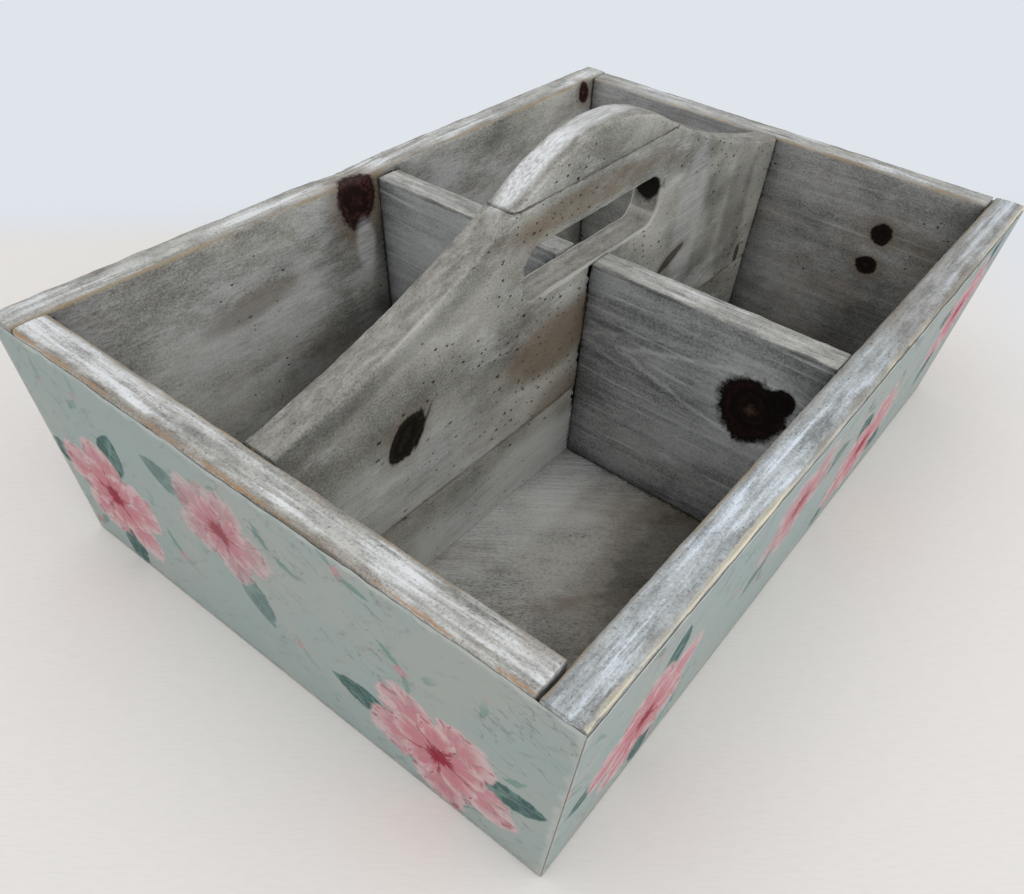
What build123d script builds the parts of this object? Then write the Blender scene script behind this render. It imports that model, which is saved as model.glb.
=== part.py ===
from build123d import *
import os
from math import atan2, cos, degrees, radians, sin, tan

# Storage caddy: an open wooden box whose four walls lean outwards, parted by a
# lengthwise handle board with an arched top and by one cross divider on each side
# of it. +X runs along the length, +Y towards the back side, +Z up. The origin is
# the middle of the underside. All lengths are millimetres, all angles degrees.

# Box
caddy_length = 360.0
caddy_width = 248.0
rim_height = 104.0
wall_slope = 6.0
board_thickness = 14.0
floor_thickness = 3.0
edge_round = 1.5

# Handle board, glued up from three strips
handle_offset = 3.0
arch_rise = 54.0
crest_radius = 95.0
toe_angle = 12.0
handle_round = 4.0
lower_strip_width = 37.0
slot_length = 94.0
slot_height = 22.0
slot_corner = 8.0
plank_above_slot = 18.0

# Dividers, whose tops are level with the sill of the hand slot
divider_drop = 3.0
front_divider_shift = 4.0

# Panel pins, drawn with eight sides
pin_sides = 8
pin_diameter = 1.6
pin_length = 36.0
pin_head_diameter = 2.8
pin_head_depth = 1.2
floor_pin_length = 16.0
corner_pin_shares = (0.2, 0.5, 0.8)
divider_pin_shares = (0.25, 0.7)
plank_pin_shares = (0.3, 0.75)
strip_pin_share = 0.5
side_floor_pin_shares = (-0.85, -0.43, 0.0, 0.43, 0.85)
end_floor_pin_shares = (-0.5, 0.5)
handle_floor_pin_shares = (-0.6, 0.6)

# Paper pasted on the outer faces
paper_thickness = 0.3
paper_margin = 3.0

# Worked-out sizes
lean_sin = sin(radians(wall_slope))
lean_cos = cos(radians(wall_slope))
wall_width = board_thickness / lean_cos
bottom = floor_thickness
divider_top = rim_height - divider_drop
lower_seam = bottom + lower_strip_width
slot_sill = divider_top
upper_seam = slot_sill + slot_height + plank_above_slot
sides = (("front", -1), ("back", 1))
ends = (("left", -1), ("right", 1))
divider_x = {"front": front_divider_shift, "back": 0}


def inset(z):
    """How far a wall stands inside its own rim at height z."""
    return (rim_height - z) * tan(radians(wall_slope))


def outer_x(z):
    """Half the caddy's length over the ends at height z."""
    return caddy_length / 2 - inset(z)


def outer_y(z):
    """Half the caddy's width over the sides at height z."""
    return caddy_width / 2 - inset(z)


def inner_x(z):
    """From the middle to the inner face of an end board at height z."""
    return outer_x(z) - wall_width


def inner_y(z):
    """From the middle to the inner face of a long side at height z."""
    return outer_y(z) - wall_width


def side_face(face, x, z):
    """The plane on a long side's outer face at x and height z, looking outwards."""
    origin = (x, face * outer_y(z), z)
    return Plane(origin=origin, x_dir=(-face, 0, 0), z_dir=(0, face * lean_cos, -lean_sin))


def end_face(face, y, z):
    """The plane on an end board's outer face at y and height z, looking outwards."""
    origin = (face * outer_x(z), y, z)
    return Plane(origin=origin, x_dir=(0, face, 0), z_dir=(face * lean_cos, 0, -lean_sin))


def handle_face(face):
    """Where the handle board's front (-1) or back (1) face stands, across the width."""
    return handle_offset + face * board_thickness / 2


def wall_share(share):
    """The height at a share of the wall, from the floor up."""
    return bottom + share * (rim_height - bottom)


def finish(builder, name):
    """Name a finished piece and write it out."""
    builder.part.label = name
    export_step(builder.part, f"parts/{name}.step")


os.makedirs("parts", exist_ok=True)

# Places of the pin heads, as planes that look out of the board the head lies flush in.
# The floor pins are driven up into every board that stands on the floor panel.
side_row = outer_y(bottom) - wall_width / 2
end_row = outer_x(bottom) - wall_width / 2
floor_places = []
for side, face in sides:
    for share in side_floor_pin_shares:
        floor_places.append((share * inner_x(bottom), face * side_row))
    floor_places.append((divider_x[side], (handle_face(face) + face * inner_y(bottom)) / 2))
for _, face in ends:
    for share in end_floor_pin_shares:
        floor_places.append((face * end_row, share * inner_y(bottom)))
for share in handle_floor_pin_shares:
    floor_places.append((share * inner_x(bottom), handle_offset))
pin_places = {"floor_pins": [Plane(origin=(x, y, 0), z_dir=(0, 0, -1)) for x, y in floor_places]}

# The ends are pinned to the handle board
handle_heights = [bottom + strip_pin_share * lower_strip_width]
handle_heights += [lower_seam + share * (rim_height - lower_seam) for share in plank_pin_shares]
for end, face in ends:
    pin_places[f"{end}_handle_pins"] = [end_face(face, handle_offset, z) for z in handle_heights]

# The long sides are pinned to the end boards and to the dividers
for side, face in sides:
    corner_places = []
    for z in map(wall_share, corner_pin_shares):
        middle = outer_x(z) - wall_width / 2
        corner_places += [side_face(face, -middle, z), side_face(face, middle, z)]
    pin_places[f"{side}_corner_pins"] = corner_places
    divider_heights = map(wall_share, divider_pin_shares)
    pin_places[f"{side}_divider_pins"] = [side_face(face, divider_x[side], z) for z in divider_heights]

# Panel pins, one group to each place they serve
pins = {}
for name, places in pin_places.items():
    with BuildPart() as pin_group:
        with BuildSketch(*places):
            RegularPolygon(pin_diameter / 2, pin_sides)
        extrude(amount=-(floor_pin_length if name == "floor_pins" else pin_length))
        with BuildSketch(*places):
            RegularPolygon(pin_head_diameter / 2, pin_sides)
        extrude(amount=-pin_head_depth)
    finish(pin_group, name)
    pins[name] = pin_group.part

# Floor panel, its edges planed to the lean of the walls
with BuildPart() as floor_panel:
    with BuildSketch(Plane.XY):
        Rectangle(2 * outer_x(0), 2 * outer_y(0))
    with BuildSketch(Plane.XY.offset(floor_thickness)):
        Rectangle(2 * outer_x(floor_thickness), 2 * outer_y(floor_thickness))
    loft()
    add(pins["floor_pins"], mode=Mode.SUBTRACT)
finish(floor_panel, "floor_panel")

# Long sides, which run the full length and cover the ends of the end boards
for side, face in sides:
    with BuildPart() as long_side:
        with BuildSketch(Plane.YZ):
            with BuildLine():
                Polyline(
                    (face * outer_y(bottom), bottom),
                    (face * outer_y(rim_height), rim_height),
                    (face * inner_y(rim_height), rim_height),
                    (face * inner_y(bottom), bottom),
                    close=True,
                )
            make_face()
        extrude(amount=caddy_length / 2, both=True)
        for _, end in ends:
            split(bisect_by=end_face(end, 0, rim_height), keep=Keep.BOTTOM)
        rim = long_side.faces().sort_by(Axis.Z)[-1]
        fillet(rim.edges().filter_by(Axis.X), edge_round)
        for group in (f"{side}_corner_pins", f"{side}_divider_pins", "floor_pins"):
            add(pins[group], mode=Mode.SUBTRACT)
    finish(long_side, f"{side}_side")

# End boards, which butt between the long sides
for end, face in ends:
    with BuildPart() as end_board:
        with BuildSketch(Plane.XZ):
            with BuildLine():
                Polyline(
                    (face * outer_x(bottom), bottom),
                    (face * outer_x(rim_height), rim_height),
                    (face * inner_x(rim_height), rim_height),
                    (face * inner_x(bottom), bottom),
                    close=True,
                )
            make_face()
        extrude(amount=caddy_width / 2, both=True)
        for _, side in sides:
            inner = side_face(side, 0, rim_height).offset(-board_thickness)
            split(bisect_by=inner, keep=Keep.BOTTOM)
        rim = end_board.faces().sort_by(Axis.Z)[-1]
        fillet(rim.edges().filter_by(Axis.Y), edge_round)
        for group in ("front_corner_pins", "back_corner_pins", f"{end}_handle_pins", "floor_pins"):
            add(pins[group], mode=Mode.SUBTRACT)
    finish(end_board, f"{end}_end")

# Arch of the handle board: a crest arc that turns into a hollow toe arc on each
# side. The toe meets the rim at the end board's inner face at the toe angle, and
# its radius follows from the two arcs sharing a tangent where they meet.
half_span = inner_x(rim_height)
crest_drop = crest_radius - arch_rise
toe_sin = sin(radians(toe_angle))
toe_cos = cos(radians(toe_angle))
toe_slack = crest_radius - half_span * toe_sin - crest_drop * toe_cos
toe_radius = (half_span**2 + crest_drop**2 - crest_radius**2) / (2 * toe_slack)
turn_angle = degrees(atan2(half_span + toe_radius * toe_sin, toe_radius * toe_cos + crest_drop))

# The glued-up handle board as it is sawn out, before its seams part it
with BuildPart() as handle_blank:
    with BuildSketch(Plane.XZ.offset(-handle_offset)):
        with BuildLine():
            crest = JernArc((0, rim_height + arch_rise), (1, 0), crest_radius, -turn_angle)
            toe = JernArc(crest @ 1, crest % 1, toe_radius, turn_angle - toe_angle)
            Polyline(toe @ 1, (inner_x(bottom), bottom), (0, bottom))
            mirror(about=Plane.YZ)
        make_face()
    extrude(amount=board_thickness / 2, both=True)
    arch_edges = handle_blank.edges().filter_by(lambda edge: edge.center().Z > rim_height)
    fillet(arch_edges.filter_by(Axis.Y, reverse=True), handle_round)
    with BuildSketch(Plane.XZ.offset(-handle_offset)):
        with Locations((0, slot_sill + slot_height / 2)):
            RectangleRounded(slot_length, slot_height, slot_corner)
    extrude(amount=board_thickness / 2, both=True, mode=Mode.SUBTRACT)
    fillet(handle_blank.edges(Select.LAST).filter_by(Axis.Y, reverse=True), edge_round)
    for group in ("left_handle_pins", "right_handle_pins", "floor_pins"):
        add(pins[group], mode=Mode.SUBTRACT)

with BuildPart() as handle_lower_strip:
    add(handle_blank.part)
    split(bisect_by=Plane.XY.offset(lower_seam), keep=Keep.BOTTOM)
finish(handle_lower_strip, "handle_lower_strip")

with BuildPart() as handle_plank:
    add(handle_blank.part)
    split(bisect_by=Plane.XY.offset(lower_seam), keep=Keep.TOP)
    split(bisect_by=Plane.XY.offset(upper_seam), keep=Keep.BOTTOM)
finish(handle_plank, "handle_plank")

with BuildPart() as handle_cap:
    add(handle_blank.part)
    split(bisect_by=Plane.XY.offset(upper_seam), keep=Keep.TOP)
finish(handle_cap, "handle_cap")

# Dividers, each between the handle board and one long side
for side, face in sides:
    with BuildPart() as divider:
        with BuildSketch(Plane.YZ.offset(divider_x[side])):
            with BuildLine():
                Polyline(
                    (handle_face(face), bottom),
                    (face * inner_y(bottom), bottom),
                    (face * inner_y(divider_top), divider_top),
                    (handle_face(face), divider_top),
                    close=True,
                )
            make_face()
        extrude(amount=board_thickness / 2, both=True)
        top = divider.faces().sort_by(Axis.Z)[-1]
        fillet(top.edges().filter_by(Axis.Y), edge_round)
        for group in (f"{side}_divider_pins", "floor_pins"):
            add(pins[group], mode=Mode.SUBTRACT)
    finish(divider, f"{side}_divider")

# Paper sheets, each cut back from the edges of the outer face that it covers
sheets = [(f"{side}_paper", side_face(face, 0, rim_height), caddy_length / 2) for side, face in sides]
sheets += [(f"{end}_paper", end_face(face, 0, rim_height), caddy_width / 2) for end, face in ends]
sheet_drop = rim_height / lean_cos - paper_margin
for name, rim_plane, half_length in sheets:
    upper = half_length - paper_margin * (1 + lean_sin)
    lower = half_length - sheet_drop * lean_sin - paper_margin
    with BuildPart() as paper:
        with BuildSketch(rim_plane):
            with BuildLine():
                Polyline(
                    (-upper, -paper_margin),
                    (upper, -paper_margin),
                    (lower, -sheet_drop),
                    (-lower, -sheet_drop),
                    close=True,
                )
            make_face()
        extrude(amount=paper_thickness)
    finish(paper, name)
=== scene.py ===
"""Storage caddy: grey-washed pine boards, an arched handle board and pasted printed paper."""

from dataclasses import dataclass
from math import atan2, cos, exp, hypot, pi, radians, sin, sqrt

import bmesh
import bpy
from bpy.props import FloatProperty, FloatVectorProperty, PointerProperty
from bpy.types import NodeSocket, Operator, Panel, PropertyGroup
from mathutils import Euler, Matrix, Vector, noise


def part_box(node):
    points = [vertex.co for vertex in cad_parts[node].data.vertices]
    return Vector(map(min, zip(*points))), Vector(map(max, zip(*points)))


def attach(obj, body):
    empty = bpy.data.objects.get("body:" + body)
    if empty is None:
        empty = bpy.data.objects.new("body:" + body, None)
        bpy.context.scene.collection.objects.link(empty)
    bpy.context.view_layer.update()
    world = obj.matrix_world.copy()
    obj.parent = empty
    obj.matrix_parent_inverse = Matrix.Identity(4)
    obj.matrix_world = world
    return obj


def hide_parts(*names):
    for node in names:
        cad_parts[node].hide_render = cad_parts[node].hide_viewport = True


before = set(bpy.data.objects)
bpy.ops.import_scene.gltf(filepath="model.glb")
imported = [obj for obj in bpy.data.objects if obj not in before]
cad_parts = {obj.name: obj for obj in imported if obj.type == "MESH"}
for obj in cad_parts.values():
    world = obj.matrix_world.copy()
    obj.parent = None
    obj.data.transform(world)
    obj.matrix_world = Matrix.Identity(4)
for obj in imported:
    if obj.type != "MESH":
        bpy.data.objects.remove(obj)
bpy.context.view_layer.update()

bl_info = {
    "name": "Storage caddy",
    "version": (1, 0, 0),
    "blender": (4, 5, 0),
    "location": "View3D > Sidebar > Caddy",
    "description": "Builds the worn boards, the printed paper and the stage of a storage caddy",
    "category": "Object",
}

MM = 0.001
BODY = "root"
FAR = 50 * MM
SNAP = 1e-6

# Segments of the roundings and of the arch's arcs
RIM_STEPS = 4
EASE_STEPS = 2
ARCH_STEPS = 5
SLOT_STEPS = 3
TOE_STEPS = 24
CREST_STEPS = 10
CORNER_STEPS = 6

# A seam's width as a share of the paint line along the handle's foot
FOOT_SHARE = 0.25

# Grains per metre of the wear along edges, of the chips in it and of a planed face's ripple
WEAR_GRAIN = 90
CHIP_GRAIN = 320
RIPPLE_GRAIN = 45

# Grains per metre of a sheet's frayed edge, wide and fine
FRAY_GRAIN = 55
FRAY_FINE = 210

# Turn of the brush strokes on the floor panel
BRUSH_TURN = radians(52)

# Half the table cloth's width, how far it lies below the caddy, and the ways to its two edges
CLOTH_HALF = 6.0
CLOTH_DROP = 0.2 * MM
CLOTH_BACK = (0.68, 0.73, 0)
CLOTH_SIDE = (0.59, -0.81, 0)

# The sky's colour, and each lamp's name, place, size and power
SKY = (0.67, 0.68, 0.7, 1)
LAMPS = (
    ("window", (-0.1, -1.15, 1.35), 1.5, 8.0),
    ("sky", (-0.5, 0.3, 1.6), 1.2, 5.0),
)

# An edge is sharp from this turn of its faces on
SHARP = radians(60)

# How much a plain paint shines
SHEEN = 0.12


def low(node):
    """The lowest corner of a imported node."""
    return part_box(node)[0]


def high(node):
    """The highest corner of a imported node."""
    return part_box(node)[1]


def middle(node):
    """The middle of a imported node's box."""
    return (low(node) + high(node)) / 2


def srgb(red, green, blue):
    """A colour written in 0 to 255 display values, as linear red, green, blue and alpha."""
    shares = [value / 255 for value in (red, green, blue)]
    linear = [c / 12.92 if c < 0.04045 else ((c + 0.055) / 1.055) ** 2.4 for c in shares]
    return (*linear, 1.0)


def length_setting(name, description, default):
    """A size that a user may change, in metres."""
    return FloatProperty(name=name, description=description, default=default, unit="LENGTH", precision=4)


def colour_setting(name, description, *values):
    """A colour that a user may change, given in display values."""
    return FloatVectorProperty(
        name=name, description=description, default=srgb(*values), size=4, subtype="COLOR", min=0, max=1
    )


class CaddySizes(PropertyGroup):
    """Sizes of the caddy and of its worn surfaces"""

    rim: length_setting("Rim", "Height of the four walls", high("left_end").z)
    floor_top: length_setting("Floor top", "Upper face of the floor panel", high("floor_panel").z)
    half_length: length_setting("Half length", "From the middle to an end's rim", high("front_side").x)
    floor_half_length: length_setting("Floor half length", "Half the floor's length", high("floor_panel").x)
    floor_half_width: length_setting("Floor half width", "Half the floor's width", high("floor_panel").y)
    board: length_setting("Board", "Board thickness", high("handle_plank").y - low("handle_plank").y)
    handle_middle: length_setting("Handle middle", "Middle of the handle board", middle("handle_plank").y)
    front_divider: length_setting("Front divider", "Middle of the front divider", middle("front_divider").x)
    back_divider: length_setting("Back divider", "Middle of the back divider", middle("back_divider").x)
    divider_top: length_setting("Divider top", "Top of the dividers", high("front_divider").z)
    lower_seam: length_setting("Lower seam", "Top of the handle's lower strip", high("handle_lower_strip").z)
    upper_seam: length_setting("Upper seam", "Bottom of the handle's cap", low("handle_cap").z)
    crest: length_setting("Crest", "Top of the handle's arch", high("handle_cap").z)
    crest_radius: length_setting("Crest radius", "Radius of the arch at its crest", 95 * MM)
    toe_angle: FloatProperty(
        name="Toe angle",
        description="Slope of the arch where it meets an end",
        default=radians(12),
        unit="ROTATION",
    )
    slot_height: length_setting("Slot height", "Height of the hand slot", 22 * MM)
    slot_half: length_setting("Slot half length", "Half the length of the hand slot", 47 * MM)
    slot_corner: length_setting("Slot corner", "Corner radius of the hand slot", 8 * MM)

    step: length_setting("Mesh step", "Width of the mesh squares on a board", 2.5 * MM)
    rim_inner: length_setting("Inner rim rounding", "Rounding of a wall's inner top edge", 1.6 * MM)
    rim_outer: length_setting("Outer rim rounding", "Rounding of a wall's outer top edge", 1.6 * MM)
    divider_round: length_setting("Divider rounding", "Rounding of a divider's top edges", 1.0 * MM)
    arch_round: length_setting("Arch rounding", "Rounding of the handle's arch", 1.9 * MM)
    slot_round: length_setting("Slot rounding", "Rounding of the hand slot's edges", 1.2 * MM)
    arris: length_setting("Arris", "Easing of all other edges", 0.6 * MM)
    seam: length_setting("Seam", "Easing of the edges along a glued seam", 0.35 * MM)
    wear: length_setting("Wear", "Deepest wear of an edge", 0.7 * MM)
    ripple: length_setting("Ripple", "Unevenness of a hand-planed face", 0.12 * MM)
    edge_reach: length_setting("Edge reach", "How far wear reaches from an edge", 8 * MM)
    joint_gap: length_setting("Joint gap", "Open line between two boards", 0.2 * MM)
    open_joint: length_setting("Open joint", "Wider gap at the front of the left end", 0.7 * MM)
    tight_joint: length_setting("Tight joint", "Keeps grime thin where the handle meets an end", 3 * MM)
    floor_lift: length_setting("Floor lift", "From the pins' heads up to the floor's underside", 0.15 * MM)

    paper: length_setting("Paper", "Thickness of the pasted paper", 0.15 * MM)
    paper_step: length_setting("Paper step", "Width of the mesh squares on a sheet", 3 * MM)
    paper_inset: length_setting("Paper inset", "From a corner of the caddy to the sheet", 0.1 * MM)


class CaddyColours(PropertyGroup):
    """Paints, wood, print and stage"""

    soot: colour_setting("Soot", "Grime in cracks and pinholes", 10, 8, 7)
    wash_dark: colour_setting("Dark wash", "Grey wash where it lies thick", 114, 114, 110)
    wash_mid: colour_setting("Wash", "Grey wash on the boards", 202, 201, 195)
    wash_white: colour_setting("White", "White dry-brushed paint", 232, 234, 235)
    umber: colour_setting("Umber", "Brown stain that shows through", 118, 98, 74)
    raw_wood: colour_setting("Raw wood", "Bare wood on a sanded edge", 176, 132, 84)
    raw_pale: colour_setting("Pale raw wood", "Bare pale wood on the front's edge", 238, 228, 200)
    ochre: colour_setting("Ochre", "Rubbed inner edges", 158, 138, 104)
    knot_brown: colour_setting("Knot", "Reddish heart of a knot", 74, 44, 38)
    knot_olive: colour_setting("Olive knot", "Olive heart of a knot", 74, 66, 50)
    knot_core: colour_setting("Knot core", "Pale core of a knot", 104, 80, 70)
    steel: colour_setting("Steel", "Panel pins", 150, 150, 152)
    ground: colour_setting("Paper", "Pale grey-green ground of the paper", 162, 176, 173)
    cream: colour_setting("Cream", "Faded patches of the paper", 171, 177, 172)
    petal_pale: colour_setting("Pale petal", "Rims of the petals", 218, 190, 190)
    petal_mid: colour_setting("Petal", "Middles of the petals", 202, 132, 142)
    petal_deep: colour_setting("Deep petal", "Hearts of the blossoms", 150, 20, 52)
    leaf: colour_setting("Leaf", "Leaves", 28, 78, 76)
    leaf_pale: colour_setting("Pale leaf", "Faded leaves", 108, 144, 134)
    table: colour_setting("Table", "Table cloth", 236, 232, 227)
    backdrop: colour_setting("Backdrop", "Background", 224, 229, 236)


class CaddyView(PropertyGroup):
    """Camera of the reference view"""

    place: FloatVectorProperty(
        name="Place",
        description="Camera position",
        default=(-0.2877, -0.17222, 0.28593),
        subtype="TRANSLATION",
    )
    turn: FloatVectorProperty(
        name="Turn",
        description="Camera rotation",
        default=(radians(49.105), radians(-3.546), radians(-51.993)),
        subtype="EULER",
    )
    lens: FloatProperty(name="Lens", description="Focal length in millimetres", default=32.66, unit="CAMERA")


# Where the boards stand


class Palette:
    """The colours as plain numbers."""

    def __init__(self, colours):
        for key in CaddyColours.__annotations__:
            setattr(self, key, tuple(getattr(colours, key)))


class Shape:
    """The sizes as plain numbers, and where the leaning boards stand at each height."""

    def __init__(self, sizes):
        for key in CaddySizes.__annotations__:
            setattr(self, key, getattr(sizes, key))
        self.lean = (self.half_length - self.floor_half_length) / self.rim
        self.slope = hypot(1, self.lean)
        self.wall_width = self.board * self.slope
        self.sill = self.divider_top
        self.lintel = self.sill + self.slot_height
        self.set_arch()

    def outer_x(self, z):
        """From the middle to an end's outer face at height z."""
        return self.floor_half_length + z * self.lean

    def outer_y(self, z):
        """From the middle to a long side's outer face at height z."""
        return self.floor_half_width + z * self.lean

    def inner_x(self, z):
        """From the middle to an end's inner face at height z."""
        return self.outer_x(z) - self.wall_width

    def inner_y(self, z):
        """From the middle to a long side's inner face at height z."""
        return self.outer_y(z) - self.wall_width

    def set_arch(self):
        """Find the toe arc that meets both the end walls' rims and the crest's arc."""
        half_span = self.inner_x(self.rim)
        self.crest_z = self.crest - self.crest_radius
        drop = self.rim - self.crest_z
        toe_sin, toe_cos = sin(self.toe_angle), cos(self.toe_angle)
        slack = self.crest_radius - half_span * toe_sin - drop * toe_cos
        self.toe_radius = (half_span**2 + drop**2 - self.crest_radius**2) / (2 * slack)
        self.turn = atan2(half_span + self.toe_radius * toe_sin, self.toe_radius * toe_cos + drop)
        reach = self.crest_radius + self.toe_radius
        self.toe_x = reach * sin(self.turn)
        self.toe_z = self.crest_z + reach * cos(self.turn)

    def arch(self, x):
        """Height of the arch at x."""
        x = abs(x)
        if x < self.crest_radius * sin(self.turn):
            return self.crest_z + sqrt(self.crest_radius**2 - x * x)
        return self.toe_z - sqrt(max(0, self.toe_radius**2 - (x - self.toe_x) ** 2))

    def slot_distance(self, x, z):
        """How far a point of the handle's face lies from the hand slot's edge."""
        across = abs(x) - (self.slot_half - self.slot_corner)
        up = abs(z - self.sill - self.slot_height / 2) - (self.slot_height / 2 - self.slot_corner)
        return abs(hypot(max(across, 0), max(up, 0)) + min(max(across, up), 0) - self.slot_corner)

    def floor_gap(self, p):
        """From a point down to the floor panel."""
        return p.z - self.floor_top

    def foot_line(self, p):
        """The same for the broken line of paint along the handle's foot, which is wider than a seam."""
        return FOOT_SHARE * self.floor_gap(p)

    def end_gap(self, p):
        """From a point to the nearer end's inner face."""
        return self.inner_x(p.z) - abs(p.x)

    def tight_end_gap(self, p):
        """The same where the joint is tight, so that less dirt and painted shade gather along it."""
        return self.end_gap(p) + self.tight_joint

    def side_gap(self, p):
        """From a point to the nearer long side's inner face."""
        return self.inner_y(p.z) - abs(p.y)

    def handle_gap(self, p):
        """From a point to the handle board's nearer face."""
        return abs(p.y - self.handle_middle) - self.board / 2

    def divider_gap(self, p):
        """From a point to the divider on its side of the handle board."""
        at = self.front_divider if p.y < self.handle_middle else self.back_divider
        across = abs(p.x - at) - self.board / 2
        above = p.z - self.divider_top
        return hypot(max(across, 0), above) if above > 0 else across

    def side_seat(self, face):
        """Turns a long side's own coordinates (along, outwards, up) into the caddy's."""

        def seat(p):
            z = self.floor_top + p.z
            across = self.inner_y(z) + (p.y / self.board + 0.5) * self.wall_width
            return Vector((p.x * self.outer_x(z) / self.half_length, face * across, z))

        return seat

    def end_seat(self, face, front_gap):
        """The same for an end board, which stops short of the long sides by its joint gaps."""

        def seat(p):
            z = self.floor_top + p.z
            reach = self.inner_y(z)
            share = p.x / (2 * self.inner_y(self.rim)) + 0.5
            y = share * (2 * reach - front_gap - self.joint_gap) - reach + front_gap
            return Vector((face * (self.inner_x(z) + (p.y / self.board + 0.5) * self.wall_width), y, z))

        return seat

    def divider_length(self, face):
        """A divider's length at its top."""
        return self.inner_y(self.divider_top) - self.board / 2 - face * self.handle_middle

    def divider_seat(self, at, face):
        """The same for a divider between the handle board and a long side."""
        start = self.handle_middle + face * (self.board / 2 + self.joint_gap)
        length = self.divider_length(face)

        def seat(p):
            z = self.floor_top + p.z
            end = face * (self.inner_y(z) - self.joint_gap)
            return Vector((at + p.y, start + (p.x / length + 0.5) * (end - start), z))

        return seat

    def strip_seat(self, p):
        """The same for the handle's lower strip."""
        z = self.floor_top + p.z
        return Vector((p.x * self.inner_x(z) / self.inner_x(self.lower_seam), self.handle_middle + p.y, z))

    def sheet_seat(self, face, long_wall):
        """Turns a sheet's coordinates (along, up from the rim, outwards) into the caddy's."""
        run, rise = self.lean / self.slope, 1 / self.slope
        edge = self.outer_y(self.rim) if long_wall else self.half_length

        def seat(along, up, out):
            level = face * (edge + up * run + out * rise)
            z = self.rim + up * rise - out * run
            return Vector((-face * along, level, z)) if long_wall else Vector((level, face * along, z))

        return seat


def settings(context):
    """The sizes and the colours that the pieces are made with."""
    return Shape(context.scene.caddy_sizes), Palette(context.scene.caddy_colours)


# Mesh work


def bevel(bm, edges, offset, segments):
    """Round edges over."""
    bmesh.ops.bevel(
        bm, geom=edges, offset=offset, segments=segments, profile=0.5, affect="EDGES", material=-1
    )


def sharp_edges(bm):
    """Edges whose two faces turn by more than a rounding's step."""
    return [e for e in bm.edges if len(e.link_faces) == 2 and e.calc_face_angle() > SHARP]


def every_face(face):
    """Cut all faces."""
    return True


def flat_face(face):
    """Cut only the wide faces of the handle board."""
    return abs(face.normal.y) > 0.99


def edge_face(face):
    """Cut only the faces across the handle board's thickness."""
    return abs(face.normal.y) < 0.01


def cut_grid(bm, axis, step, chosen=every_face):
    """Cut the chosen faces into slices of about one step along an axis."""
    places = [v.co[axis] for v in bm.verts]
    start, end = min(places), max(places)
    count = max(1, round((end - start) / step))
    normal = Vector()
    normal[axis] = 1
    for k in range(1, count):
        faces = [f for f in bm.faces if chosen(f)]
        geom = {item for f in faces for item in (*f.verts, *f.edges)}
        at = normal * (start + (end - start) * k / count)
        bmesh.ops.bisect_plane(bm, geom=[*geom, *faces], dist=SNAP, plane_co=at, plane_no=normal)


def block(length, width, height):
    """A box that stands on the level z = 0."""
    bm = bmesh.new()
    bmesh.ops.create_cube(bm, size=1.0)
    bmesh.ops.scale(bm, vec=(length, width, height), verts=bm.verts)
    bmesh.ops.translate(bm, vec=(0, 0, height / 2), verts=bm.verts)
    return bm


def whole(bm):
    """All that a mesh is made of."""
    return bm.verts[:] + bm.edges[:] + bm.faces[:]


def extrude(bm, faces, move):
    """Give flat faces a thickness."""
    raised = bmesh.ops.extrude_face_region(bm, geom=faces)["geom"]
    far = [item for item in raised if isinstance(item, bmesh.types.BMVert)]
    bmesh.ops.translate(bm, vec=move, verts=far)


def add_marks(bm):
    """Layers for the distances to a board's outer and inner edges, its neighbours and its seams."""
    layers = bm.verts.layers.float
    return [layers.new(name) for name in ("outer_edge", "inner_edge", "gap", "seam")]


def face_outwards(bm):
    """Turn all faces outwards after a mesh was moved or mirrored."""
    bm.normal_update()
    bmesh.ops.recalc_face_normals(bm, faces=bm.faces)
    bm.normal_update()


def weather(s, bm, knots=(), dips=()):
    """Wear edges, sink knots, dip rims and let faces ripple, always inwards."""
    outer, inner = (bm.verts.layers.float[name] for name in ("outer_edge", "inner_edge"))
    face_outwards(bm)
    moves = []
    for v in bm.verts:
        p = v.co
        edge = max(0, 1 - min(v[outer], v[inner]) / s.edge_reach)
        rough = 0.5 + 0.5 * noise.noise(p * WEAR_GRAIN) + 0.35 * noise.noise(p * CHIP_GRAIN)
        depth = s.wear * edge * edge * max(0, rough)
        depth += s.ripple * (0.5 + 0.5 * noise.noise(p * RIPPLE_GRAIN))
        depth += sum(knot.depth(p) for knot in knots)
        drop = sum(dip.depth(p) for dip in dips)
        moves.append((v, v.normal * -depth - Vector((0, 0, drop))))
    for v, move in moves:
        v.co += move


def placed(bm, name, material):
    """Turn a mesh in the making into an object of the scene."""
    mesh = bpy.data.meshes.new(name)
    bm.to_mesh(mesh)
    bm.free()
    mesh.materials.append(material)
    made = bpy.data.objects.new(name, mesh)
    bpy.context.scene.collection.objects.link(made)
    return made


def piece_from(bm, name, node, material):
    """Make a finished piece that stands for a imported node."""
    for face in bm.faces:
        face.smooth = True
    piece = placed(bm, name, material)
    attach(piece, BODY)
    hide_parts(node)
    return piece


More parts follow.
